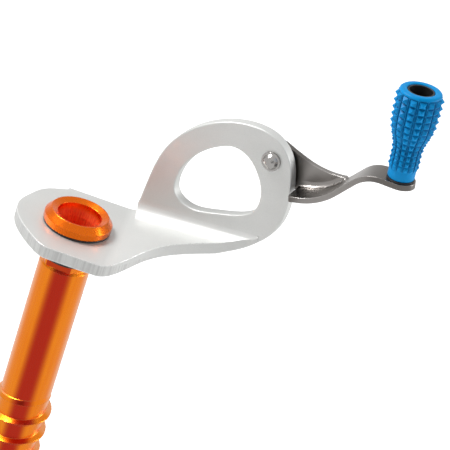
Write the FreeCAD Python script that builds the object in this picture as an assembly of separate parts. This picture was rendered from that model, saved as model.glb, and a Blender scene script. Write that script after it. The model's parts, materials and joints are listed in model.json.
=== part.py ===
import FreeCAD, Part
import math
import os

# Ice screw with a bent hanger and a folding crank.
# Millimetres.  Origin on the tube axis at the underside of the hanger plate.
# +Z points up out of the ice, the cutting tip is at negative Z.
# +X runs along the hanger towards the karabiner eye.

os.makedirs("parts", exist_ok=True)
V = FreeCAD.Vector

# --- tube and cutting bit -------------------------------------------------
SHANK_R = 8.5
BORE_R = 6.6
TIP_Z = -130.0
NECK_Z = -9.6
HEX_AF = 15.1
HEX_TURN = -100.0
EDGE_BREAK = 0.3
COLLAR_R = 11.2
COLLAR_Z = (4.6, 6.9, 9.0)
LAND_R = 9.5
MOUTH_R = 7.3
MOUTH_Z = 8.1
MOUTH_FOOT_Z = 3.5
BIT_TOP_Z = -106.0
SPIGOT_R = 7.5
SPIGOT_Z = -100.0
SHOULDER = 0.9
LIP_WALL = 0.5
LIP_DEPTH = 5.0
THREAD_PITCH = 8.0
THREAD_R = 10.3
THREAD_ROOT = 2.6
THREAD_CREST = 0.5
THREAD_Z = (-124.0, -60.0)
THREAD_SINK = 0.4
THREAD_FADE = 7.0
TEETH = 4
TOOTH_DEPTH = 9.0
TOOTH_ROOT = 1.0
TOOTH_RAKE = (0.9, -1.6)
TOOTH_BACK = -6.2

# --- hanger plate ---------------------------------------------------------
PLATE = 4.0
CREASE_X = 14.0
CREASE_R = 10.0
NOTCH = 2.4
BACK_Y = 23.1
RIM_END = (24.5, -4.6)
TRIM_H = 5.0
TONGUE_RISE = 14.0
BEND_SKEW = 18.2
BEND_R = 6.0
RING_W = 20.9
EDGE_R = 0.45
LONG_EDGE = 80.0
HOLE_R = 10.5
KEY_R = 11.0
KEY_WIDTH = 3.0

# --- bush -----------------------------------------------------------------
BUSH_Z = (-7.2, 0.0, 4.0, 4.6)
BUSH_LOWER_R = 9.5
BUSH_LIP_R = 11.0
SPLIT = 0.1

# --- crank pivot, in the frame of the upright ring ------------------------
PIVOT_S = 42.6
PIVOT_H = 30.5
RIVET_R = 2.5
RIVET_HEAD_R = 3.2
RUNNING = 0.05
WASHER_T = 0.9
SPRING_T = 0.7
BACK_T = 0.8
TAIL_T = 1.2

# --- crank ----------------------------------------------------------------
CRANK_T = 1.8
EAR_W = RING_W + PLATE + WASHER_T
EAR_R = 5.3
STRIP_PATH = ((51.0, 22.4), (61.2, 23.7), (76.1, 37.0), (91.6, 35.1))
STRIP_BENDS = (22.0, 12.0)
STRIP_FRONT = 15.8
NOSE_R = 1.5
STRIP_END_R = 4.8
FOLD_R = 1.8

# --- knob -----------------------------------------------------------------
KNOB_S = 85.9
KNOB_W = 20.6
KNOB_H = 30.0
KNOB_PAD = 0.5
PAD_R = 4.3
AXLE_R = 2.2
CORE_SEAT = 20.0
STEM_R = 3.2
STEM_TOP = 12.0
CUP_R = 4.1
CUP_FOOT = 16.0
CUP_BORE_R = 3.7
GRIP_PROFILE = ((0.5, 4.25), (5.5, 4.25), (11.5, 4.8), (15.0, 5.7), (18.5, 6.6),
                (22.5, 6.9), (27.0, 6.9), (29.2, 6.7), (30.0, 6.0))

# --- tools: blocks and bars larger than the piece they cut ------------------
FAR = 200.0
OVER = 1.0
DRILL = 10.0
PLAN_FOOT = -5.0
PLAN_TOP = 20.0
RING_FOOT = -12.0
BASE_X = -25.0
TONGUE_LEN = 75.0
BEND_S = -40.0
RING_TOP = 60.0


def upright_frame():
    """Frame of the bend: X along the bend line, Y away from it, Z off the tongue."""
    rise = math.radians(TONGUE_RISE)
    skew = math.radians(BEND_SKEW)
    slope = V(math.cos(rise), 0, math.sin(rise))
    across = V(0, 1, 0)
    along = slope * math.cos(skew) - across * math.sin(skew)
    away = slope * math.sin(skew) + across * math.cos(skew)
    up = along.cross(away)
    matrix = FreeCAD.Matrix(
        along.x, away.x, up.x, CREASE_X,
        along.y, away.y, up.y, 0.0,
        along.z, away.z, up.z, PLATE,
        0.0, 0.0, 0.0, 1.0)
    return FreeCAD.Placement(matrix)


FRAME = upright_frame()


def slope_frame():
    """Frame of the tongue's top face: X up the slope from the crease."""
    return FreeCAD.Placement(
        V(CREASE_X, 0, PLATE), FreeCAD.Rotation(V(0, 1, 0), -TONGUE_RISE))


def strip_top(s):
    """Height of the straight outer end of the crank strip at station s."""
    (s0, h0), (s1, h1) = STRIP_PATH[2], STRIP_PATH[3]
    return h0 + (h1 - h0) * (s - s0) / (s1 - s0)


def knob_frame():
    """Frame of the knob: Z along its axle, origin on the crank strip."""
    (s0, h0), (s1, h1) = STRIP_PATH[2], STRIP_PATH[3]
    tilt = math.degrees(math.atan2(h0 - h1, s1 - s0))
    local = FreeCAD.Placement(
        V(KNOB_S, KNOB_W, strip_top(KNOB_S)),
        FreeCAD.Rotation(V(0, 1, 0), tilt))
    return FRAME.multiply(local)


def pivot_frame():
    """Frame of the rivet: Z away from the viewer's side, origin on the ring's front."""
    local = FreeCAD.Placement(
        V(PIVOT_S, RING_W, PIVOT_H),
        FreeCAD.Rotation(V(1, 0, 0), -90))
    return FRAME.multiply(local)


def place(shape, frame):
    """Move a shape built at the origin into a frame."""
    moved = shape.copy()
    moved.transformShape(frame.toMatrix())
    return moved


def line(a, b):
    return Part.LineSegment(a, b).toShape()


def arc(a, b, c):
    return Part.Arc(a, b, c).toShape()


def curve(points, start=None, end=None):
    """Smooth curve through the given points, with end directions if they are given."""
    spline = Part.BSplineCurve()
    if start is None:
        spline.interpolate(points)
    else:
        spline.interpolate(Points=points, InitialTangent=start, FinalTangent=end)
    return spline.toShape()


def closed_curve(points):
    """Smooth closed curve through the given points."""
    spline = Part.BSplineCurve()
    spline.interpolate(points, PeriodicFlag=True)
    return spline.toShape()


def prism(edges, direction):
    """Solid made by pushing a closed outline along a direction."""
    wire = Part.Wire(Part.__sortEdges__(edges))
    return Part.Face(wire).extrude(direction)


def lathe(profile):
    """Solid of revolution about Z from (radius, height) points."""
    points = [V(r, 0, z) for r, z in profile]
    points.append(points[0])
    face = Part.Face(Part.makePolygon(points))
    return face.revolve(V(0, 0, 0), V(0, 0, 1), 360)


def drill(radius, frame):
    """Cylinder along a frame's Z, long enough to pass through the piece there."""
    return place(Part.makeCylinder(radius, 2 * DRILL, V(0, 0, -DRILL)), frame)


def rounded_path(points, radii):
    """Lines through the points with tangent arcs of the given radii at inner points."""
    edges = []
    start = points[0]
    for index, radius in enumerate(radii):
        corner = points[index + 1]
        before = (points[index] - corner).normalize()
        after = (points[index + 2] - corner).normalize()
        half = before.getAngle(after) / 2
        reach = radius / math.tan(half)
        middle = (before + after).normalize()
        centre = corner + middle * (radius / math.sin(half))
        first = corner + before * reach
        last = corner + after * reach
        edges.append(line(start, first))
        edges.append(arc(first, centre - middle * radius, last))
        start = last
    edges.append(line(start, points[-1]))
    return edges


def neck_bar(z0, z1):
    """Hexagonal bar with its corners rounded to the shank's radius."""
    corner_r = HEX_AF / 2 / math.cos(math.pi / 6)
    points = []
    for i in range(7):
        angle = math.radians(HEX_TURN + 30 + 60 * i)
        points.append(V(corner_r * math.cos(angle), corner_r * math.sin(angle), z0))
    bar = Part.Face(Part.makePolygon(points)).extrude(V(0, 0, z1 - z0))
    return bar.common(Part.makeCylinder(SHANK_R, z1 - z0, V(0, 0, z0)))


def thread_ridge():
    """Coarse external ridge, faded out at its upper end and over the bit."""
    z0, z1 = THREAD_Z
    radius = SHANK_R - THREAD_SINK
    helix = Part.makeHelix(THREAD_PITCH, z1 - z0, radius)
    helix.translate(V(0, 0, z0))
    half = THREAD_ROOT / 2
    crest = THREAD_CREST / 2
    section = Part.makePolygon([
        V(radius, 0, z0 - half),
        V(THREAD_R, 0, z0 - crest),
        V(THREAD_R, 0, z0 + crest),
        V(radius, 0, z0 + half),
        V(radius, 0, z0 - half)])
    sweep = Part.BRepOffsetAPI.MakePipeShell(Part.Wire(helix))
    sweep.setFrenetMode(True)
    sweep.add(section)
    sweep.build()
    sweep.makeSolid()
    ridge = sweep.shape()
    outside = THREAD_R + OVER
    envelope = lathe([
        (0, z0 - THREAD_FADE / 2), (SHANK_R, z0), (THREAD_R, z0 + THREAD_FADE),
        (outside, z0 + THREAD_FADE), (outside, z1 - THREAD_FADE),
        (THREAD_R, z1 - THREAD_FADE), (SHANK_R, z1), (0, z1 + THREAD_FADE / 2)])
    return ridge.common(envelope)


def tube_body(ridge):
    """Aluminium tube with head collar, hexagonal neck and thread."""
    z_low, z_side, z_top = COLLAR_Z
    head = lathe([
        (0, z_low), (COLLAR_R - EDGE_BREAK, z_low), (COLLAR_R, z_low + EDGE_BREAK),
        (COLLAR_R, z_side), (LAND_R, z_top), (0, z_top)])
    neck = neck_bar(NECK_Z, z_low)
    shank = lathe([
        (0, BIT_TOP_Z), (SHANK_R, BIT_TOP_Z), (SHANK_R, NECK_Z - SHOULDER),
        (HEX_AF / 2, NECK_Z), (0, NECK_Z)])
    body = shank.fuse([neck, head])
    body = body.fuse(ridge.common(slab(BIT_TOP_Z, NECK_Z)))
    dish_r = LAND_R - EDGE_BREAK
    mouth = lathe([
        (0, z_top + OVER), (dish_r, z_top + OVER), (dish_r, z_top),
        (MOUTH_R, MOUTH_Z), (BORE_R, MOUTH_FOOT_Z), (BORE_R, SPIGOT_Z),
        (SPIGOT_R, SPIGOT_Z), (SPIGOT_R, BIT_TOP_Z - OVER),
        (0, BIT_TOP_Z - OVER)])
    return body.cut(mouth)


def slab(z0, z1):
    """Wide block between two heights."""
    return Part.makeBox(FAR, FAR, z1 - z0, V(-FAR / 2, -FAR / 2, z0))


def tooth_gap(index):
    """Saw-tooth gap cut through one side of the tip."""
    z0 = TIP_Z - OVER
    root_z = TIP_Z + TOOTH_DEPTH
    edge_x, root_x = TOOTH_RAKE
    gap = prism([
        line(V(TOOTH_BACK, 0, z0), V(edge_x, 0, z0)),
        line(V(edge_x, 0, z0), V(root_x, 0, root_z)),
        line(V(root_x, 0, root_z), V(root_x - TOOTH_ROOT, 0, root_z)),
        line(V(root_x - TOOTH_ROOT, 0, root_z), V(TOOTH_BACK, 0, z0))],
        V(0, THREAD_R + OVER, 0))
    gap.rotate(V(0, 0, 0), V(0, 0, 1), 360.0 * index / TEETH)
    return gap


def bit_body(ridge):
    """Steel cutting bit with four teeth, the start of the thread and a spigot."""
    sleeve = lathe([
        (0, TIP_Z), (SHANK_R, TIP_Z), (SHANK_R, BIT_TOP_Z), (SPIGOT_R, BIT_TOP_Z),
        (SPIGOT_R, SPIGOT_Z), (0, SPIGOT_Z)])
    body = sleeve.fuse(ridge.common(slab(TIP_Z - OVER, BIT_TOP_Z)))
    edge_r = SHANK_R - LIP_WALL
    bore = lathe([
        (0, TIP_Z - OVER), (edge_r, TIP_Z - OVER), (edge_r, TIP_Z),
        (BORE_R, TIP_Z + LIP_DEPTH), (BORE_R, SPIGOT_Z + OVER), (0, SPIGOT_Z + OVER)])
    body = body.cut(bore)
    return body.cut([tooth_gap(i) for i in range(TEETH)])


def plan_outline():
    """Plan view of the flat base and tongue; open beyond the bend."""
    z = PLAN_FOOT
    left = V(-4.0, -20.4, z)
    right = V(10.5, -20.4, z)
    ahead = V(1, 0, 0)
    end = V(62.5, 4.9, z)
    nose = curve([
        left, V(-9.4, -17.8, z), V(-15.1, -11.2, z), V(-19.3, -3.6, z),
        V(-20.3, 3.0, z), V(-18.0, 10.9, z), V(-13.6, 18.1, z), V(-7.9, 22.1, z),
        V(0.0, BACK_Y, z)], -ahead, ahead)
    flank = curve([
        right, V(14.9, -19.0, z), V(20.3, -12.2, z), V(25.1, -4.7, z),
        V(30.6, 0.2, z), V(38.0, 3.6, z), V(46.0, 6.1, z), V(52.0, 6.9, z),
        V(56.5, 6.6, z), end], ahead, V(0.95, -0.3, 0))
    corners = [
        V(0.0, BACK_Y, z), V(CREASE_X, BACK_Y, z), V(CREASE_X, FAR / 2, z),
        V(FAR / 2, FAR / 2, z), V(FAR / 2, -FAR / 2, z), V(end.x, -FAR / 2, z), end]
    sides = [line(a, b) for a, b in zip(corners, corners[1:])]
    return [nose, flank, line(right, left)] + sides


def ring_outline():
    """Front view of the upright ring in the bend frame; open below the bend."""
    foot = V(-3.9, 0, 5.0)
    skirt = V(-9.85, 0, RING_FOOT)
    end = V(RIM_END[0], 0, RIM_END[1])
    below = V(RIM_END[0], 0, RING_FOOT)
    rim = curve([
        foot, V(-0.4, 0, 15.0), V(4.7, 0, 25.6), V(13.4, 0, 34.2),
        V(24.0, 0, 39.3), V(34.6, 0, 40.7), V(43.4, 0, 38.4), V(48.2, 0, 33.2),
        V(49.8, 0, 25.0), V(49.3, 0, 16.4), V(47.4, 0, 9.8), V(44.2, 0, 4.8),
        V(39.2, 0, 0.7), V(33.3, 0, -2.4), V(29.0, 0, -3.7), end],
        foot - skirt, V(-1, 0, -0.15))
    return [
        rim,
        line(end, below),
        line(below, skirt),
        line(skirt, foot)]


def eye_outline():
    """Karabiner eye in the bend frame, drawn on the ring's front face."""
    outline = [
        (27.4, 31.7), (20.2, 28.9), (13.6, 23.4), (9.6, 16.6), (9.3, 10.4), (14.2, 6.9),
        (22.5, 7.0), (30.8, 8.4), (37.3, 11.4), (39.6, 18.4), (38.0, 24.6), (34.2, 29.8)]
    return closed_curve([V(s, RING_W - OVER, h) for s, h in outline])


def base_profile():
    """Side view of the flat base and the rising tongue, as a long bar along Y."""
    rise = math.radians(TONGUE_RISE)
    slope = V(math.cos(rise), 0, math.sin(rise))
    normal = V(-math.sin(rise), 0, math.cos(rise))
    side = -FAR / 2
    corner = V(CREASE_X, side, PLATE)
    high_end = corner + slope * TONGUE_LEN
    low_end = high_end - normal * PLATE
    bisector = (V(0, 0, 1) + normal).normalize()
    low_corner = corner - bisector * (PLATE / math.cos(rise / 2))
    high_start = V(BASE_X, side, PLATE)
    low_start = V(BASE_X, side, 0)
    top = rounded_path([high_start, corner, high_end], [CREASE_R])
    low = rounded_path([low_start, low_corner, low_end], [CREASE_R + PLATE])
    ends = [line(low_start, high_start), line(low_end, high_end)]
    return prism(top + low + ends, V(0, FAR, 0))


def bend_section():
    """Tongue edge, bend and ring plate as one bar along the bend line."""
    start = RING_W - BEND_R
    back = RING_W + PLATE
    outer = BEND_R + PLATE
    k = math.sqrt(0.5)

    def at(w, h):
        return V(BEND_S, w, h)

    edges = [
        arc(at(start, 0), at(start + BEND_R * k, BEND_R * (1 - k)), at(RING_W, BEND_R)),
        line(at(RING_W, BEND_R), at(RING_W, RING_TOP)),
        line(at(RING_W, RING_TOP), at(back, RING_TOP)),
        line(at(back, RING_TOP), at(back, BEND_R)),
        arc(at(back, BEND_R), at(start + outer * k, BEND_R - outer * k), at(start, -PLATE)),
        line(at(start, -PLATE), at(start, 0))]
    return prism(edges, V(FAR, 0, 0))


def base_plate():
    """Flat base and rising tongue, cut back where the bend takes over."""
    start = RING_W - BEND_R
    plate = base_profile().common(plan_tool())
    plate = plate.common(Part.makeBox(FAR, FAR, FAR, V(-FAR / 2, BACK_Y - FAR, -FAR / 2)))
    bend_space = place(Part.makeBox(FAR, FAR, FAR, V(-FAR / 2, start, -FAR / 2)), FRAME)
    plate = plate.cut(bend_space.common(right_of_notch()))
    under = Part.makeBox(FAR, FAR, FAR, V(RIM_END[0], -FAR / 2, TRIM_H - FAR))
    under = under.cut(ring_tool())
    return plate.cut(place(under, FRAME))


def plan_tool():
    """Everything inside the plan outline, and everything above the tongue."""
    low = prism(plan_outline(), V(0, 0, PLAN_TOP - PLAN_FOOT))
    return low.fuse(slab(PLAN_TOP, FAR))


def right_of_notch():
    """Everything up the slope from the notch between the base and the ring."""
    return place(Part.makeBox(FAR, FAR, FAR, V(NOTCH, -FAR / 2, -FAR / 2)), slope_frame())


def ring_tool():
    """Everything inside the ring's front outline, in the bend frame."""
    tool = prism(ring_outline(), V(0, FAR, 0))
    tool.translate(V(0, -FAR / 2, 0))
    return tool


def ring_plate():
    """Bend and upright ring, without the holes."""
    upright = place(bend_section().common(ring_tool()), FRAME)
    return upright.common(right_of_notch()).common(plan_tool())


def hanger_body():
    """Bent plate with its eye, seat and rivet hole, softened round the ring and eye."""
    body = base_plate().fuse(ring_plate()).removeSplitter()
    eye = prism([eye_outline()], V(0, FAR, 0))
    body = body.cut(place(eye, FRAME))
    body = body.cut(seat_hole())
    body = body.cut(drill(RIVET_R, pivot_frame()))
    rim_and_eye = [edge for edge in body.Edges if edge.Length > LONG_EDGE]
    return body.makeFillet(EDGE_R, rim_and_eye)


def seat_hole():
    """Hole for the bush with two key notches."""
    depth = PLATE + 2 * OVER
    hole = Part.makeCylinder(HOLE_R, depth, V(0, 0, -OVER))
    return hole.fuse(key_pair(-OVER, depth))


def key_pair(z0, height):
    """Two keys on opposite sides of a cylinder, joined by the bar between them."""
    keys = Part.makeBox(2 * KEY_R, KEY_WIDTH, height, V(-KEY_R, -KEY_WIDTH / 2, z0))
    return keys.common(Part.makeCylinder(KEY_R, height, V(0, 0, z0)))


def bush_half(sign):
    """One half of the split polymer bush; sign -1 is the front half."""
    z0, z1, z2, z3 = BUSH_Z
    ring = lathe([
        (0, z0), (BUSH_LOWER_R - 0.5, z0), (BUSH_LOWER_R, z0 + 0.5),
        (BUSH_LOWER_R, z1 - 0.4), (HOLE_R, z1 - 0.1), (HOLE_R, z2),
        (BUSH_LIP_R, z2), (BUSH_LIP_R, z3), (0, z3)])
    ring = ring.fuse(key_pair(z1, z2 - z1))
    ring = ring.cut(neck_bar(z0 - OVER, z3 + OVER))
    if sign < 0:
        corner = V(-FAR / 2, -FAR - SPLIT, -FAR / 2)
    else:
        corner = V(-FAR / 2, SPLIT, -FAR / 2)
    return ring.common(Part.makeBox(FAR, FAR, FAR, corner))


def pivot_stack():
    """Rivet and washers on the pivot axis, keyed by node name."""
    back = PLATE
    ear = back + WASHER_T
    spring = ear + CRANK_T
    rear = spring + SPRING_T
    tail = rear + BACK_T
    top = tail + TAIL_T
    head = RIVET_HEAD_R
    rivet = lathe([
        (0, -2.4), (1.0, -2.28), (1.9, -1.8), (2.45, -1.0), (2.6, -0.75), (head, -0.7),
        (head, -0.1), (head - 0.1, 0), (RIVET_R, 0), (RIVET_R, tail),
        (RIVET_R + 1.1, tail), (RIVET_R + 1.3, tail + 0.4), (RIVET_R + 0.6, top), (0, top)])
    bore = RIVET_R + RUNNING
    washer = lathe([(bore, back), (4.1, back), (4.1, ear), (bore, ear)])
    spring_disc = lathe([
        (bore, spring + 0.3), (bore + 0.2, spring + 0.3), (4.4, spring),
        (4.6, spring), (4.6, spring + 0.4), (bore + 0.2, rear), (bore, rear)])
    rear_washer = lathe([(bore, rear), (4.2, rear), (4.2, tail), (bore, tail)])
    return {
        "pivot_rivet": rivet,
        "pivot_washer": washer,
        "pivot_spring_washer": spring_disc,
        "pivot_back_washer": rear_washer}


def strip_line():
    """Upper line of the strip seen from the front: two straights, two bends between."""
    return rounded_path([V(s, 0, h) for s, h in STRIP_PATH], STRIP_BENDS)


def strip_band():
    """Cranked strip seen from the front, pushed through its full width."""
    upper = [V(s, 0, h) for s, h in STRIP_PATH]
    normals = [below(a, b) for a, b in zip(upper, upper[1:])]
    normals = [normals[0]] + normals + [normals[-1]]
    lower = []
    for point, before, after in zip(upper, normals, normals[1:]):
        mitre = (before + after).normalize()
        lower.append(point + mitre * (CRANK_T / mitre.dot(before)))
    up_bend, down_bend = STRIP_BENDS
    bottom = rounded_path(lower, [up_bend + CRANK_T, down_bend - CRANK_T])
    ends = [line(upper[0], lower[0]), line(upper[-1], lower[-1])]
    return prism(strip_line() + bottom + ends, V(0, FAR, 0))


def below(a, b):
    """Unit vector square to the line a to b, on its lower side."""
    return V(b.z - a.z, 0, a.x - b.x).normalize()


def strip_plan():
    """Outline of the strip seen from above: wide at the ear, round at the knob."""
    back = EAR_W + CRANK_T
    front = STRIP_FRONT
    s0 = STRIP_PATH[0][0]
    r = STRIP_END_R
    turn = math.radians(72)
    left = V(s0, front + NOSE_R, 0)
    nose = V(s0 + NOSE_R, front, 0)
    cheek = NOSE_R * (1 - math.sqrt(0.5))
    under = V(KNOB_S, KNOB_W - r, 0)
    rear = V(KNOB_S + r * math.cos(turn), KNOB_W + r * math.sin(turn), 0)
    heel = V(63.0, back, 0)
    corner = V(s0, back, 0)
    return [
        line(corner, left),
        arc(left, V(s0 + cheek, front + cheek, 0), nose),
        line(nose, under),
        arc(under, V(KNOB_S + r, KNOB_W, 0), rear),
        curve([rear, V(78.5, 25.6, 0), V(70.0, back - 0.25, 0), heel]),
        line(heel, corner)]


def ear_outline():
    """Front view of the ear: round at the rivet, drawn out along the strip."""
    lift = math.radians(58)
    low = math.radians(-128)
    r = EAR_R
    s0, h0 = STRIP_PATH[0]
    tip = V(PIVOT_S + r * math.cos(lift), EAR_W, PIVOT_H + r * math.sin(lift))
    left = V(PIVOT_S - r, EAR_W, PIVOT_H)
    heel = V(PIVOT_S + r * math.cos(low), EAR_W, PIVOT_H + r * math.sin(low))
    hidden = V(s0 - 3.6, EAR_W, h0 - CRANK_T)
    foot = V(s0, EAR_W, h0 - CRANK_T)
    bend = V(60.0, EAR_W, 24.4)
    toe = V(66.5, EAR_W, 28.3)
    over = V(66.0, EAR_W, 28.9)
    return [
        arc(heel, left, tip),
        curve([tip, V(50.3, EAR_W, 32.4), V(56.5, EAR_W, 29.9), V(62.0, EAR_W, 28.9), over]),
        line(over, toe),
        curve([toe, V(63.2, EAR_W, 25.9), bend, V(56.4, EAR_W, h0 - 0.3), foot]),
        line(foot, hidden),
        line(hidden, heel)]


def fold_fillet():
    """Concave fillet in the corner between the ear and the top of the strip."""
    path = Part.Wire(strip_line())
    path.translate(V(0, EAR_W, 0))
    start = path.Vertexes[0].Point
    r = FOLD_R
    sink = EDGE_BREAK

    def at(w, h):
        return start + V(0, w, h)

    k = r * (1 - math.sqrt(0.5))
    section = Part.Wire([
        arc(at(0, r), at(-k, k), at(-r, 0)),
        line(at(-r, 0), at(-r, -sink)),
        line(at(-r, -sink), at(sink, -sink)),
        line(at(sink, -sink), at(sink, r)),
        line(at(sink, r), at(0, r))])
    sweep = Part.BRepOffsetAPI.MakePipeShell(path)
    sweep.setBiNormalMode(V(0, 1, 0))
    sweep.add(section)
    sweep.build()
    sweep.makeSolid()
    ahead = prism(ear_outline(), V(0, -FOLD_R, 0))
    behind = prism(ear_outline(), V(0, CRANK_T, 0))
    return sweep.shape().common(ahead.fuse(behind))


def crank_body():
    """Crank: ear, forward-folded strip and the knob hole."""
    strip = strip_band().common(prism(strip_plan(), V(0, 0, FAR)))
    ear = prism(ear_outline(), V(0, CRANK_T, 0))
    body = strip.fuse([ear, fold_fillet()]).removeSplitter()
    body = place(body, FRAME)
    body = body.cut(drill(RIVET_R + RUNNING, pivot_frame()))
    return body.cut(drill(AXLE_R, knob_frame()))


def knob_stack():
    """Axle, washer, core, clip and grip in the knob frame, keyed by node name."""
    r = AXLE_R
    under = CRANK_T
    seat = CORE_SEAT
    free = r + RUNNING
    pad = KNOB_PAD
    axle = lathe([
        (0, -under - 1.0), (r + 0.5, -under - 1.0), (r + 1.1, -under - 0.5),
        (r + 1.1, -under), (r, -under), (r, seat + 0.1), (r - 0.5, seat + 0.1),
        (r - 0.5, seat + 0.8), (r, seat + 0.8), (r, seat + 1.8), (r - 0.5, seat + 2.3),
        (0, seat + 2.3)])
    washer = lathe([(free, 0), (PAD_R, 0), (PAD_R, pad), (free, pad)])
    lip = KNOB_H - EDGE_BREAK
    core = lathe([
        (free, pad), (STEM_R, pad), (STEM_R, STEM_TOP), (CUP_R, CUP_FOOT), (CUP_R, lip),
        (CUP_BORE_R, lip), (CUP_BORE_R, seat), (free, seat)])
    clip = lathe([
        (r - 0.45, seat + 0.12), (3.5, seat + 0.12), (3.5, seat + 0.75), (r - 0.45, seat + 0.75)])
    clip = clip.cut(Part.makeBox(6, 1.6, 4, V(0, -0.8, seat - 1)))
    return {
        "knob_axle": axle,
        "knob_thrust_washer": washer,
        "knob_core": core,
        "knob_retaining_ring": clip,
        "knob_grip": grip_body()}


def grip_body():
    """Flared grip, moulded over the core, with a rounded mouth."""
    top = KNOB_H
    points = [V(r, 0, z) for z, r in GRIP_PROFILE]
    inner = [
        V(STEM_R, 0, KNOB_PAD), V(STEM_R, 0, STEM_TOP), V(CUP_R, 0, CUP_FOOT),
        V(CUP_R, 0, top - 2 * EDGE_BREAK), V(CUP_R + 2 * EDGE_BREAK, 0, top), points[-1]]
    edges = [line(a, b) for a, b in zip(inner, inner[1:])]
    edges.append(line(points[-1], points[-2]))
    edges.append(curve(points[1:-1]))
    edges.append(line(points[1], points[0]))
    edges.append(line(points[0], inner[0]))
    wire = Part.Wire(Part.__sortEdges__(edges))
    return Part.Face(wire).revolve(V(0, 0, 0), V(0, 0, 1), 360)


def save(name, shape):
    """Write one named subcomponent."""
    shape.Solids[0].exportStep("parts/" + name + ".step")


ridge = thread_ridge()
save("tube", tube_body(ridge))
save("cutting_bit", bit_body(ridge))
save("hanger", hanger_body())
save("bush_half_front", bush_half(-1))
save("bush_half_rear", bush_half(1))
for name, shape in pivot_stack().items():
    save(name, place(shape, pivot_frame()))
save("crank_arm", crank_body())
for name, shape in knob_stack().items():
    save(name, place(shape, knob_frame()))
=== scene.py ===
import json
import math

import bmesh
import bpy
from mathutils import Matrix, Vector


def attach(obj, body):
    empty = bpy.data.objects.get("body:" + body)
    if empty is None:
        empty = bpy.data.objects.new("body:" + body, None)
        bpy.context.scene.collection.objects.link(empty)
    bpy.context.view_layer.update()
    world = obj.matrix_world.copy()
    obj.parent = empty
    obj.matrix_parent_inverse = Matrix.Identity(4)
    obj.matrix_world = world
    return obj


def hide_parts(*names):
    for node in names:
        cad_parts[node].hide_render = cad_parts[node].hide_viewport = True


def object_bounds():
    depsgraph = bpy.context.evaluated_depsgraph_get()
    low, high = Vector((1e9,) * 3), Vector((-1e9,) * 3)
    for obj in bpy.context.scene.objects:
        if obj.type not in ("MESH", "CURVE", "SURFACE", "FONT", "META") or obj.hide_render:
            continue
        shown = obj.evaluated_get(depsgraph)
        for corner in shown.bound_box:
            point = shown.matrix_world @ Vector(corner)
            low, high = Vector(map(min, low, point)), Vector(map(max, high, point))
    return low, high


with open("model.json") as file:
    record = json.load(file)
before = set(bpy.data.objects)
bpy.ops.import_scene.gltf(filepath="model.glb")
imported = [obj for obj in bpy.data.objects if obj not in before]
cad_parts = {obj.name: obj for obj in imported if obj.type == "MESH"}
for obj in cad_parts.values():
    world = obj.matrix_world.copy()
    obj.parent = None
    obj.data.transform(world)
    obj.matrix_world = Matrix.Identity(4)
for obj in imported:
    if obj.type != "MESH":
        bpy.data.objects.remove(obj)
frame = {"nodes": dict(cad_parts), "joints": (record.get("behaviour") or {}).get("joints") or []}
CAD_LOW, CAD_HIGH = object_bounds()
NODES = frame["nodes"]

MM = 0.001
WHITE = (1, 1, 1, 1)

# Rounding of sharp edges: which edges count as sharp, and how far each is rounded
MERGE_DISTANCE = 1e-7
FLAT_ANGLE = math.radians(0.6)
CREASE_ANGLE = math.radians(38)
SOFT_ANGLE = math.radians(50)
STUD_ANGLE = math.radians(16)
EDGE_SEGMENTS = 3
STUD_SEGMENTS = 2
FLAT_WEIGHT = 100
HANGER_EDGE = 0.45 * MM
CRANK_EDGE = 0.3 * MM
STUD_EDGE = 0.11 * MM

# Floor: gap under the lowest CAD point, half width, glow near and far
FLOOR_GAP = 0.5 * MM
FLOOR_SPAN = 4.0
GLOW_REACH = (0.3, 1.5)
GLOW_LEVEL = (0.45, 0.68)

# Camera: elevation, roll and place, lens and sensor in mm, near and far limit
CAM_ELEVATION = math.radians(26.77)
CAM_ROLL = math.radians(19.246)
CAM_PLACE = Vector((0.04505, -0.52701, 0.28746))
CAM_LENS = 148.83
CAM_SENSOR = 36.0
CAM_CLIP = (0.01, 50.0)

# Lamps: name, place, aim, size, power
LAMPS = (
    ("key", (-0.55, 0.05, 0.75), (0.03, 0, 0), (0.35, 0.35), 9.0),
    ("right_fill", (0.9, 0.15, 0.30), (0.05, 0, 0.02), (0.2, 0.6), 4.0))

# White tent: level low and high, extra at the back left, share left in the dark
# gap and for matt surfaces, and the bearings where the gap starts and is full
TENT_LOW = 1.05
TENT_HIGH = 0.92
TENT_BACK_LEFT = 0.08
TENT_GAP = 0.22
TENT_DIFFUSE = 0.40
GAP_START = math.radians(24)
GAP_FULL = math.radians(6)


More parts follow.
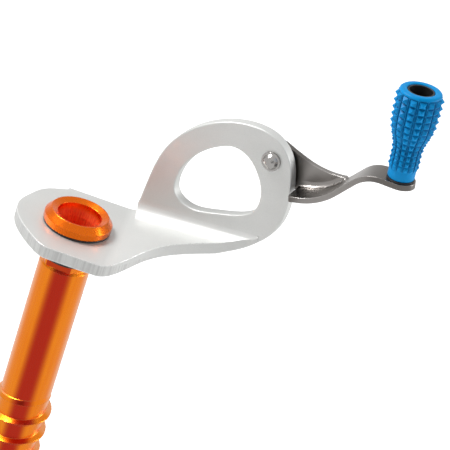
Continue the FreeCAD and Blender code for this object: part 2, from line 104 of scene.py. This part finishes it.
# ---------------------------------------------------------------- node helpers
class Shader:
    """A node tree with short calls for the nodes used here."""

    BEVEL_SAMPLES = 6
    OCCLUSION_SAMPLES = 8

    def __init__(self, tree):
        self.tree = tree
        self.nodes = tree.nodes
        self.nodes.clear()

    def add(self, kind, **values):
        """A new node with the given properties set."""
        node = self.nodes.new(kind)
        for key, value in values.items():
            setattr(node, key, value)
        return node

    def link(self, out, into):
        """Join an output to an input and give the output back."""
        self.tree.links.new(out, into)
        return out

    def feed(self, socket, value):
        """Set an input from an output or from a plain value."""
        if isinstance(value, bpy.types.NodeSocket):
            self.link(value, socket)
        else:
            socket.default_value = value

    def math(self, operation, a, b=0.0):
        """One arithmetic step."""
        node = self.add("ShaderNodeMath", operation=operation)
        self.feed(node.inputs[0], a)
        self.feed(node.inputs[1], b)
        return node.outputs[0]

    def remap(self, value, low, high, to_low=0.0, to_high=1.0, smooth=True):
        """Map low..high onto to_low..to_high, held at both ends."""
        node = self.add("ShaderNodeMapRange")
        node.interpolation_type = "SMOOTHSTEP" if smooth else "LINEAR"
        self.feed(node.inputs["Value"], value)
        for name, number in (("From Min", low), ("From Max", high),
                             ("To Min", to_low), ("To Max", to_high)):
            self.feed(node.inputs[name], number)
        return node.outputs[0]

    def mix(self, factor, a, b):
        """Blend two colours."""
        node = self.add("ShaderNodeMix", data_type="RGBA")
        self.feed(node.inputs["Factor"], factor)
        self.feed(node.inputs["A"], a)
        self.feed(node.inputs["B"], b)
        return node.outputs["Result"]

    def place(self, stretch=(1, 1, 1)):
        """Position in the CAD frame in metres, stretched along its axes."""
        coords = self.add("ShaderNodeTexCoord")
        if stretch == (1, 1, 1):
            return coords.outputs["Object"]
        mapping = self.add("ShaderNodeMapping")
        mapping.inputs["Scale"].default_value = stretch
        self.link(coords.outputs["Object"], mapping.inputs["Vector"])
        return mapping.outputs["Vector"]

    def axes(self):
        """The three coordinates of the position."""
        split = self.add("ShaderNodeSeparateXYZ")
        self.link(self.place(), split.inputs[0])
        return split.outputs

    def noise(self, scale, detail=2.0, stretch=(1, 1, 1), rough=0.5):
        """Soft noise with a mean near one half."""
        node = self.add("ShaderNodeTexNoise")
        self.link(self.place(stretch), node.inputs["Vector"])
        node.inputs["Scale"].default_value = scale
        node.inputs["Detail"].default_value = detail
        node.inputs["Roughness"].default_value = rough
        return node.outputs["Fac"]

    def edge_mask(self, radius, sharp=0.25):
        """1 on edges where the rounded normal leaves the true normal."""
        bevel = self.add("ShaderNodeBevel", samples=self.BEVEL_SAMPLES)
        bevel.inputs["Radius"].default_value = radius
        geometry = self.add("ShaderNodeNewGeometry")
        dot = self.add("ShaderNodeVectorMath", operation="DOT_PRODUCT")
        self.link(bevel.outputs[0], dot.inputs[0])
        self.link(geometry.outputs["Normal"], dot.inputs[1])
        return self.remap(dot.outputs["Value"], 1.0 - sharp, 1.0, 1.0, 0.0)

    def valley(self, reach):
        """1 where a surface is hemmed in by its neighbours within reach, for painted shade."""
        node = self.add("ShaderNodeAmbientOcclusion", samples=self.OCCLUSION_SAMPLES)
        node.inputs["Distance"].default_value = reach
        return self.remap(node.outputs["AO"], 0.45, 0.95, 1.0, 0.0)

    def bump(self, height, strength, distance, edge=0.0):
        """Normal disturbed by a height, over edges rounded by edge if given."""
        node = self.add("ShaderNodeBump")
        node.inputs["Strength"].default_value = strength
        node.inputs["Distance"].default_value = distance
        self.link(height, node.inputs["Height"])
        if edge > 0:
            bevel = self.add("ShaderNodeBevel", samples=self.BEVEL_SAMPLES)
            bevel.inputs["Radius"].default_value = edge
            self.link(bevel.outputs[0], node.inputs["Normal"])
        return node.outputs["Normal"]

    def turned(self):
        """Cosine of the angle, seen in plan, between the surface and the viewer.

        It follows the viewer. A baked texture sees every point square on and gets 1.
        """
        geometry = self.add("ShaderNodeNewGeometry")
        plans = []
        for name in ("Normal", "Incoming"):
            flat = self.add("ShaderNodeVectorMath", operation="MULTIPLY")
            self.link(geometry.outputs[name], flat.inputs[0])
            flat.inputs[1].default_value = (1, 1, 0)
            unit = self.add("ShaderNodeVectorMath", operation="NORMALIZE")
            self.link(flat.outputs[0], unit.inputs[0])
            plans.append(unit.outputs[0])
        dot = self.add("ShaderNodeVectorMath", operation="DOT_PRODUCT")
        self.link(plans[0], dot.inputs[0])
        self.link(plans[1], dot.inputs[1])
        return dot.outputs["Value"]


def material(name):
    """An empty material and its node tree."""
    mat = bpy.data.materials.new(name)
    mat.use_nodes = True
    return mat, Shader(mat.node_tree)


def surface(sh, colour, metallic, roughness, normal=None, **extra):
    """Finish a material; extra names are shader inputs with _ for each space."""
    bsdf = sh.add("ShaderNodeBsdfPrincipled")
    out = sh.add("ShaderNodeOutputMaterial")
    sh.feed(bsdf.inputs["Base Color"], colour)
    sh.feed(bsdf.inputs["Metallic"], metallic)
    sh.feed(bsdf.inputs["Roughness"], roughness)
    for key, value in extra.items():
        sh.feed(bsdf.inputs[key.replace("_", " ")], value)
    if normal is not None:
        sh.link(normal, bsdf.inputs["Normal"])
    sh.link(bsdf.outputs[0], out.inputs["Surface"])


# ------------------------------------------------------------------- materials
def satin_aluminium():
    """Blasted and anodised plate: brighter worn edges, mill marks on the base's wall."""
    mat, sh = material("satin_aluminium")
    cloud = sh.noise(90.0, 3.0)
    grain = sh.noise(5200.0, 2.0)
    rubs = sh.noise(700.0, 2.0, (1.0, 6.0, 9.0), 0.6)
    marks = sh.noise(1500.0, 2.0, (1.0, 1.0, 0.02), 0.6)
    worn = sh.edge_mask(0.7 * MM)
    base_wall = sh.remap(sh.axes()["Z"], 3.6 * MM, 4.0 * MM, 1.0, 0.0)
    milled = sh.math("MULTIPLY", sh.remap(marks, 0.42, 0.62), base_wall)
    speckle = sh.remap(grain, 0.3, 0.75, 0.0, 0.30)
    tone = sh.mix(cloud, (0.63, 0.635, 0.62, 1), (0.71, 0.715, 0.70, 1))
    tone = sh.mix(milled, tone, (0.56, 0.56, 0.55, 1))
    tone = sh.mix(speckle, tone, (0.52, 0.525, 0.51, 1))
    tone = sh.mix(worn, tone, (0.95, 0.95, 0.94, 1))
    rough = sh.remap(rubs, 0.3, 0.7, 0.40, 0.50)
    rough = sh.math("ADD", rough, sh.math("MULTIPLY", grain, 0.08))
    rough = sh.math("SUBTRACT", rough, sh.math("MULTIPLY", worn, 0.20))
    normal = sh.bump(grain, 0.25, 0.03 * MM, 0.3 * MM)
    surface(sh, tone, 0.6, rough, normal, Specular_IOR_Level=0.3)
    return mat


def tumbled_steel():
    """Pressed and tumbled stainless steel, darker by the ring and under the knob: painted shade
    and dark reflection.
    """
    mat, sh = material("tumbled_steel")
    cloud = sh.noise(160.0, 3.0)
    grain = sh.noise(4200.0, 3.0)
    along = sh.axes()["X"]
    # Painted shade and dark reflection: masks for the ear next to the ring and the strip under
    # the knob
    shade_by_ring = sh.remap(along, 61.2 * MM, 66.0 * MM, 0.75, 0.0)
    shade_by_knob = sh.remap(along, 78.5 * MM, 83.5 * MM, 0.0, 0.70)
    worn = sh.math("MULTIPLY", sh.edge_mask(0.6 * MM), 0.5)
    tone = sh.mix(cloud, (0.27, 0.252, 0.238, 1), (0.38, 0.360, 0.344, 1))
    tone = sh.mix(worn, tone, (0.70, 0.68, 0.66, 1))
    # Painted shade and dark reflection: darker near the ring and under the knob
    tone = sh.mix(sh.math("MAXIMUM", shade_by_ring, shade_by_knob), tone, (0.11, 0.10, 0.092, 1))
    rough = sh.remap(cloud, 0.3, 0.7, 0.26, 0.34)
    normal = sh.bump(grain, 0.2, 0.02 * MM, 0.4 * MM)
    surface(sh, tone, 1.0, rough, normal)
    return mat


def polished_steel():
    """Turned and polished steel for the rivet, washers and axle."""
    mat, sh = material("polished_steel")
    cloud = sh.noise(400.0, 3.0)
    grain = sh.noise(3800.0, 2.0)
    tone = sh.mix(cloud, (0.38, 0.365, 0.35, 1), (0.50, 0.485, 0.47, 1))
    rough = sh.remap(grain, 0.2, 0.8, 0.20, 0.28)
    normal = sh.bump(grain, 0.12, 0.01 * MM, 0.2 * MM)
    surface(sh, tone, 1.0, rough, normal)
    return mat


def ground_steel():
    """Ground cutting bit: fine rings left by the lathe and the grinder."""
    mat, sh = material("ground_steel")
    rings = sh.noise(1.0, 2.0, (40.0, 40.0, 9000.0))
    cloud = sh.noise(220.0, 3.0)
    worn = sh.edge_mask(0.5 * MM)
    tone = sh.mix(cloud, (0.32, 0.315, 0.31, 1), (0.46, 0.455, 0.45, 1))
    tone = sh.mix(worn, tone, (0.82, 0.82, 0.81, 1))
    rough = sh.remap(rings, 0.3, 0.7, 0.18, 0.30)
    normal = sh.bump(rings, 0.18, 0.02 * MM, 0.3 * MM)
    surface(sh, tone, 1.0, rough, normal)
    return mat


def orange_anodised():
    """Drawn tube, dyed orange: redder square on and paler at a glance, both painted reflections;
    matt in the bore.

    The red band stands in for a dark reflection and follows the viewer, so a baked
    texture of this material is red all over the shank and the thread.
    """
    mat, sh = material("orange_anodised")
    streaks = sh.noise(900.0, 3.0, (1.0, 1.0, 0.05), 0.55)
    rings = sh.noise(1.0, 2.0, (60.0, 60.0, 7000.0))
    drawn = sh.noise(2600.0, 2.0, (1.0, 1.0, 0.02), 0.6)
    cloud = sh.noise(120.0, 2.0)
    x, y, z = sh.axes()
    square = sh.math("ADD", sh.math("MULTIPLY", x, x), sh.math("MULTIPLY", y, y))
    inside = sh.remap(sh.math("SQRT", square), 6.8 * MM, 7.2 * MM, 1.0, 0.0)
    below = sh.remap(z, 2.0 * MM, 4.0 * MM, 1.0, 0.0)
    above = sh.math("SUBTRACT", 1.0, below)
    turned = sh.turned()
    red = sh.math("MULTIPLY", sh.remap(turned, 0.865, 0.99), below)
    # Painted reflection: paler where the shank turns away from the viewer, following the viewer
    glance_reflection = sh.math("MULTIPLY", sh.remap(turned, 0.62, 0.30, 0.0, 0.6), below)
    worn = sh.math("MULTIPLY", sh.edge_mask(0.4 * MM), 0.3)
    tone = sh.mix(cloud, (0.96, 0.245, 0.010, 1), (1.0, 0.285, 0.014, 1))
    tone = sh.mix(sh.remap(streaks, 0.35, 0.7, 0.0, 0.35), tone, (0.92, 0.19, 0.008, 1))
    tone = sh.mix(red, tone, (0.50, 0.026, 0.009, 1))
    tone = sh.mix(glance_reflection, tone, (1.0, 0.46, 0.22, 1))
    collar = sh.mix(cloud, (0.86, 0.145, 0.006, 1), (0.92, 0.18, 0.008, 1))
    tone = sh.mix(above, tone, collar)
    tone = sh.mix(worn, tone, (1.0, 0.50, 0.20, 1))
    bore = sh.mix(sh.remap(drawn, 0.35, 0.65), (0.88, 0.085, 0.022, 1), (1.0, 0.18, 0.045, 1))
    tone = sh.mix(inside, tone, bore)
    rough = sh.remap(streaks, 0.3, 0.7, 0.22, 0.28)
    rough = sh.math("ADD", rough, sh.math("MULTIPLY", rings, 0.03))
    rough = sh.math("ADD", rough, sh.math("MULTIPLY", inside, 0.25))
    metallic = sh.remap(inside, 0.0, 1.0, 1.0, 0.35)
    normal = sh.bump(rings, 0.10, 0.02 * MM, 0.4 * MM)
    surface(sh, tone, metallic, rough, normal, Coat_Weight=0.12, Coat_Roughness=0.10)
    return mat


def moulded_blue():
    """Moulded polyamide of the grip: light on the studs' edges, painted shade in the valleys."""
    mat, sh = material("moulded_blue")
    cloud = sh.noise(260.0, 3.0)
    grain = sh.noise(6500.0, 2.0)
    rubbed = sh.math("MULTIPLY", sh.edge_mask(0.3 * MM), 0.35)
    tone = sh.mix(cloud, (0.0, 0.225, 0.55, 1), (0.0, 0.265, 0.62, 1))
    tone = sh.mix(rubbed, tone, (0.0, 0.38, 0.75, 1))
    # Painted shade: darker blue in the valleys between the studs
    tone = sh.mix(sh.valley(1.8 * MM), tone, (0.0, 0.055, 0.17, 1))
    rough = sh.remap(grain, 0.25, 0.75, 0.36, 0.48)
    normal = sh.bump(grain, 0.15, 0.03 * MM)
    surface(sh, tone, 0.0, rough, normal, Specular_IOR_Level=0.12)
    return mat


def moulded_black(name, roughness):
    """Moulded black acetal of the bushes, the thrust washer and the knob's core."""
    mat, sh = material(name)
    cloud = sh.noise(300.0, 3.0)
    grain = sh.noise(5200.0, 2.0)
    tone = sh.mix(cloud, (0.010, 0.010, 0.011, 1), (0.022, 0.022, 0.024, 1))
    rough = sh.remap(grain, 0.25, 0.75, roughness - 0.06, roughness + 0.06)
    normal = sh.bump(grain, 0.2, 0.03 * MM, 0.2 * MM)
    surface(sh, tone, 0.0, rough, normal)
    return mat


def paint(mat, *nodes):
    """Give CAD nodes their material."""
    for name in nodes:
        mesh = NODES[name].data
        mesh.materials.clear()
        mesh.materials.append(mat)


def new_object(name, mesh):
    """An object in the scene around a mesh."""
    obj = bpy.data.objects.new(name, mesh)
    bpy.context.scene.collection.objects.link(obj)
    return obj


def smooth(mesh, angle):
    """Smooth shading with creases kept where faces meet at more than angle."""
    mesh.polygons.foreach_set("use_smooth", [True] * len(mesh.polygons))
    mesh.set_sharp_from_angle(angle=angle)


def rounded(obj, width, segments, angle):
    """Round over the edges where faces meet at more than angle."""
    bevel = obj.modifiers.new("soften", "BEVEL")
    bevel.width = width
    bevel.segments = segments
    bevel.limit_method = "ANGLE"
    bevel.angle_limit = angle
    return bevel


def stand_in(obj, body, node, mat):
    """Show obj in place of a CAD node, on that node's body."""
    obj.data.materials.clear()
    obj.data.materials.append(mat)
    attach(obj, body)
    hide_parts(node)


def softened(node, body, mat, width):
    """A copy of a CAD node whose sharp edges are rounded over."""
    mesh = NODES[node].data.copy()
    mesh.name = node + "_softened"
    bm = bmesh.new()
    bm.from_mesh(mesh)
    bmesh.ops.remove_doubles(bm, verts=bm.verts, dist=MERGE_DISTANCE)
    bmesh.ops.dissolve_limit(bm, angle_limit=FLAT_ANGLE, verts=bm.verts, edges=bm.edges)
    bm.to_mesh(mesh)
    bm.free()
    obj = new_object(mesh.name, mesh)
    bevel = rounded(obj, width, EDGE_SEGMENTS, CREASE_ANGLE)
    bevel.miter_outer = "MITER_ARC"
    smooth(mesh, CREASE_ANGLE)
    flats = obj.modifiers.new("flats", "WEIGHTED_NORMAL")
    flats.weight = FLAT_WEIGHT
    flats.keep_sharp = True
    stand_in(obj, body, node, mat)


# ------------------------------------------------------------------------ grip
# Lengths in this section are in millimetres, heights from the knob joint's place
GRIP_COLUMNS = 14
# Bearing of the first column's studs, from the side that faces the camera
GRIP_PHASE = math.radians(8)
GRIP_FOOT_R = 3.9
GRIP_BORE_R = 3.22
# Share of a sector that its rib takes, how far the rib stands out, and the share of
# that at the first stud
RIB_SHARE = 0.16
RIB_PROUD = 0.42
RIB_START = 0.6
# Height and radius of the smooth skin under the studs, and how much each step is eased
GRIP_SKIN = ((0.0, 4.25), (5.6, 4.25), (9.0, 4.15), (11.5, 4.3), (13.5, 4.85), (16.0, 5.7),
             (18.5, 6.2), (22.5, 6.35), (26.0, 6.35), (28.0, 6.3))
SKIN_EASE = 0.35
# Foot below the studs: height over the foot, or under the first stud, and radius
FOOT_ROUND = ((0.12, 4.12), (0.45, 4.25))
FOOT_NECK = (0.25, 4.25)
# Rounded rim and lip: depth under the top and radius
GRIP_RIM = ((0.8, 6.6), (0.4, 6.45), (0.12, 6.15), (0.0, 5.8), (0.0, 4.75), (0.12, 4.4),
            (0.6, 4.13))
# Inner wall over the core's shoulder: height and radius, then its end over the foot
GRIP_SHOULDER = ((16.0, 4.12), (12.0, GRIP_BORE_R))
GRIP_BORE_END = 0.1
# Studs: first and last height, then pitch and reach at the low and the high end
STUD_START = 3.9
STUD_END = 28.9
STUD_PITCH_LOW = 1.75
STUD_PITCH_HIGH = 2.35
STUD_PROUD_LOW = 0.65
STUD_PROUD_HIGH = 1.35


def stud_share(z):
    """How far z is along the studded length, from 0 to 1."""
    return (z - STUD_START) / (STUD_END - STUD_START)


def skin_radius(z):
    """Radius of the grip's skin at height z, eased a little between the points."""
    for (z0, r0), (z1, r1) in zip(GRIP_SKIN, GRIP_SKIN[1:]):
        if z <= z1:
            t = (z - z0) / (z1 - z0)
            t = t * t * (3 - 2 * t) * SKIN_EASE + t * (1 - SKIN_EASE)
            return r0 + (r1 - r0) * t
    return GRIP_SKIN[-1][1]


def stud_rows():
    """Heights of the row edges: the rows grow taller towards the top."""
    edges = [STUD_START]
    while edges[-1] < STUD_END - STUD_PITCH_LOW:
        share = stud_share(edges[-1])
        edges.append(edges[-1] + STUD_PITCH_LOW + (STUD_PITCH_HIGH - STUD_PITCH_LOW) * share)
    stretch = (STUD_END - STUD_START) / (edges[-1] - STUD_START)
    return [STUD_START + (z - STUD_START) * stretch for z in edges]


def view_back():
    """Unit vector from the object back to the camera."""
    return Vector((0.0, -math.cos(CAM_ELEVATION), math.sin(CAM_ELEVATION)))


def grip_frame():
    """Axis of the knob from the record's spin joint, turned to face the camera."""
    joint = next(j for j in frame["joints"] if j["name"] == "knob_spin")
    up = Vector(joint["axis"]).normalized()
    toward = view_back()
    front = (toward - up * toward.dot(up)).normalized()
    side = up.cross(front)
    turn = Matrix((side, front, up)).transposed().to_4x4()
    return Matrix.Translation(Vector(joint["pos_m"])) @ turn


class GripMesh:
    """Builds the grip as rings of vertices round its axis."""

    def __init__(self):
        self.bm = bmesh.new()
        self.sector = math.tau / GRIP_COLUMNS
        rib = self.sector * RIB_SHARE
        self.offsets = (0.0, rib * 0.5, rib, (self.sector + rib) * 0.5)
        self.start = GRIP_PHASE - self.offsets[-1]

    def point(self, z, r, angle):
        """A vertex at height z and radius r."""
        return self.bm.verts.new((r * math.sin(angle) * MM, r * math.cos(angle) * MM, z * MM))

    def ring(self, z, radius, rib_proud=0.0):
        """Per sector: the rib's foot, crest and foot, then the stud's middle."""
        verts = []
        for column in range(GRIP_COLUMNS):
            for place, offset in enumerate(self.offsets):
                r = radius + (rib_proud if place == 1 else 0.0)
                verts.append(self.point(z, r, self.start + column * self.sector + offset))
        return verts

    def quad(self, lower, upper, i):
        """The face between two rings after vertex i."""
        j = (i + 1) % len(lower)
        self.bm.faces.new((lower[i], lower[j], upper[j], upper[i]))

    def bridge(self, lower, upper):
        """A plain band between two rings."""
        for i in range(len(lower)):
            self.quad(lower, upper, i)

    def sweep(self, ring, profile):
        """Plain bands from ring through a run of heights and radii."""
        for z, r in profile:
            following = self.ring(z, r)
            self.bridge(ring, following)
            ring = following
        return ring

    def stud(self, lower, upper, column, z, r):
        """A pyramid of six faces over one sector's panel."""
        step = len(self.offsets)
        left = column * step + 2
        mid = left + 1
        right = (left + 2) % len(lower)
        tip = self.point(z, r, self.start + column * self.sector + self.offsets[-1])
        outline = (lower[left], lower[mid], lower[right], upper[right], upper[mid], upper[left])
        for here, following in zip(outline, outline[1:] + outline[:1]):
            self.bm.faces.new((here, following, tip))

    def stud_row(self, lower, z0, z1):
        """One row of ribs and studs between the heights z0 and z1."""
        upper = self.ring(z1, skin_radius(z1), RIB_PROUD)
        proud = STUD_PROUD_LOW + (STUD_PROUD_HIGH - STUD_PROUD_LOW) * stud_share(z0)
        middle = (z0 + z1) / 2
        for column in range(GRIP_COLUMNS):
            base = column * len(self.offsets)
            self.quad(lower, upper, base)
            self.quad(lower, upper, base + 1)
            self.stud(lower, upper, column, middle, skin_radius(middle) + proud)
        return upper


def grip_mesh(foot, top):
    """The closed grip between the heights foot and top, from outside in."""
    grip = GripMesh()
    rows = stud_rows()
    first = grip.ring(foot, GRIP_FOOT_R)
    neck = (STUD_START - FOOT_NECK[0], FOOT_NECK[1])
    ring = grip.sweep(first, [(foot + rise, r) for rise, r in FOOT_ROUND] + [neck])
    ribbed = grip.ring(rows[0], skin_radius(rows[0]), RIB_PROUD * RIB_START)
    grip.bridge(ring, ribbed)
    ring = ribbed
    for z0, z1 in zip(rows, rows[1:]):
        ring = grip.stud_row(ring, z0, z1)
    ring = grip.sweep(ring, [(top - depth, r) for depth, r in GRIP_RIM])
    ring = grip.sweep(ring, GRIP_SHOULDER + ((foot + GRIP_BORE_END, GRIP_BORE_R),))
    grip.bridge(ring, first)
    bmesh.ops.recalc_face_normals(grip.bm, faces=grip.bm.faces)
    mesh = bpy.data.meshes.new("grip_studded")
    grip.bm.to_mesh(mesh)
    grip.bm.free()
    return mesh


def studded_grip():
    """The grip: a turned skin carrying columns of pyramids between thin ribs."""
    place = grip_frame()
    back = place.inverted()
    heights = [(back @ v.co).z / MM for v in NODES["knob_grip"].data.vertices]
    mesh = grip_mesh(min(heights), max(heights))
    mesh.transform(place)
    obj = new_object("grip_studded", mesh)
    rounded(obj, STUD_EDGE, STUD_SEGMENTS, STUD_ANGLE)
    smooth(mesh, SOFT_ANGLE)
    stand_in(obj, "knob", "knob_grip", moulded_blue())


# --------------------------------------------------------------- light and set
def area(name, place, target, size, power):
    """A rectangular lamp aimed at a point."""
    data = bpy.data.lights.new(name, "AREA")
    data.shape = "RECTANGLE"
    data.size, data.size_y = size
    data.energy = power
    lamp = new_object(name, data)
    lamp.location = place
    lamp.rotation_euler = (Vector(target) - Vector(place)).to_track_quat("-Z", "Y").to_euler()


def tent_level(sh, matt):
    """Brightness of the tent by direction, dimmer where matt is 1."""
    coords = sh.add("ShaderNodeTexCoord")
    split = sh.add("ShaderNodeSeparateXYZ")
    sh.link(coords.outputs["Generated"], split.inputs[0])
    x, y, z = split.outputs
    bearing = sh.math("ARCTAN2", x, sh.math("MULTIPLY", y, -1.0))
    left_edge = sh.remap(bearing, -GAP_START, -GAP_FULL)
    right_edge = sh.remap(bearing, GAP_FULL, GAP_START, 1.0, 0.0)
    near_level = sh.remap(sh.math("ABSOLUTE", z), 0.05, 0.30, 1.0, 0.0)
    gap = sh.math("MULTIPLY", sh.math("MULTIPLY", left_edge, right_edge), near_level)
    dome = sh.remap(z, -0.4, 0.7, TENT_LOW, TENT_HIGH)
    to_left = sh.remap(x, 0.1, -0.35, 0.0, TENT_BACK_LEFT)
    back_left = sh.math("MULTIPLY", sh.remap(y, 0.3, 0.8), to_left)
    level = sh.math("ADD", dome, back_left)
    level = sh.math("MULTIPLY", level, sh.remap(gap, 0.0, 1.0, 1.0, TENT_GAP, smooth=False))
    return sh.math("MULTIPLY", level, sh.remap(matt, 0.0, 1.0, 1.0, TENT_DIFFUSE))


def studio_world():
    """A white tent, dark in a narrow gap behind the camera, with a white backdrop."""
    world = bpy.data.worlds.new("studio")
    bpy.context.scene.world = world
    world.use_nodes = True
    sh = Shader(world.node_tree)
    rays = sh.add("ShaderNodeLightPath")
    tent = sh.add("ShaderNodeBackground")
    sh.feed(tent.inputs["Strength"], tent_level(sh, rays.outputs["Is Diffuse Ray"]))
    backdrop = sh.add("ShaderNodeBackground")
    backdrop.inputs["Strength"].default_value = 1.0
    backdrop.inputs["Color"].default_value = WHITE
    mixer = sh.add("ShaderNodeMixShader")
    sh.link(rays.outputs["Is Camera Ray"], mixer.inputs[0])
    sh.link(tent.outputs[0], mixer.inputs[1])
    sh.link(backdrop.outputs[0], mixer.inputs[2])
    out = sh.add("ShaderNodeOutputWorld")
    sh.link(mixer.outputs[0], out.inputs["Surface"])


def studio_floor():
    """A wide pale sheet just under the cutting teeth, glowing more in the distance."""
    level = CAD_LOW.z - FLOOR_GAP
    signs = ((-1, -1), (1, -1), (1, 1), (-1, 1))
    corners = [(x * FLOOR_SPAN, y * FLOOR_SPAN, level) for x, y in signs]
    mesh = bpy.data.meshes.new("floor")
    mesh.from_pydata(corners, [], [(0, 1, 2, 3)])
    floor = new_object("floor", mesh)
    mat, sh = material("pale_floor")
    tone = sh.mix(sh.noise(40.0, 3.0), (0.88, 0.88, 0.88, 1), (0.92, 0.92, 0.92, 1))
    distance = sh.add("ShaderNodeVectorMath", operation="LENGTH")
    sh.link(sh.place(), distance.inputs[0])
    glow = sh.remap(distance.outputs["Value"], *GLOW_REACH, *GLOW_LEVEL)
    surface(sh, tone, 0.0, 0.8, Emission_Color=WHITE, Emission_Strength=glow)
    mesh.materials.append(mat)
    floor.visible_glossy = False


def camera():
    """The viewpoint: looking along +Y, down and with a roll."""
    level_up = Vector((0.0, math.sin(CAM_ELEVATION), math.cos(CAM_ELEVATION)))
    level_right = Vector((1.0, 0.0, 0.0))
    right = level_right * math.cos(CAM_ROLL) + level_up * math.sin(CAM_ROLL)
    up = level_up * math.cos(CAM_ROLL) - level_right * math.sin(CAM_ROLL)
    data = bpy.data.cameras.new("camera")
    data.lens = CAM_LENS
    data.sensor_width = CAM_SENSOR
    data.clip_start, data.clip_end = CAM_CLIP
    cam = new_object("camera", data)
    turn = Matrix((right, up, view_back())).transposed().to_4x4()
    cam.matrix_world = Matrix.Translation(CAM_PLACE) @ turn
    bpy.context.scene.camera = cam


paint(orange_anodised(), "tube")
paint(ground_steel(), "cutting_bit")
softened("hanger", "screw", satin_aluminium(), HANGER_EDGE)
softened("crank_arm", "crank", tumbled_steel(), CRANK_EDGE)
paint(moulded_black("bush_black", 0.38), "bush_half_front", "bush_half_rear")
paint(moulded_black("washer_black", 0.45), "knob_thrust_washer")
paint(moulded_black("core_black", 0.42), "knob_core")
paint(polished_steel(), "pivot_rivet", "pivot_washer", "pivot_spring_washer", "pivot_back_washer",
      "knob_axle", "knob_retaining_ring")
studded_grip()
studio_world()
studio_floor()
for lamp_values in LAMPS:
    area(*lamp_values)
camera()
bpy.context.scene.view_settings.view_transform = "Standard"
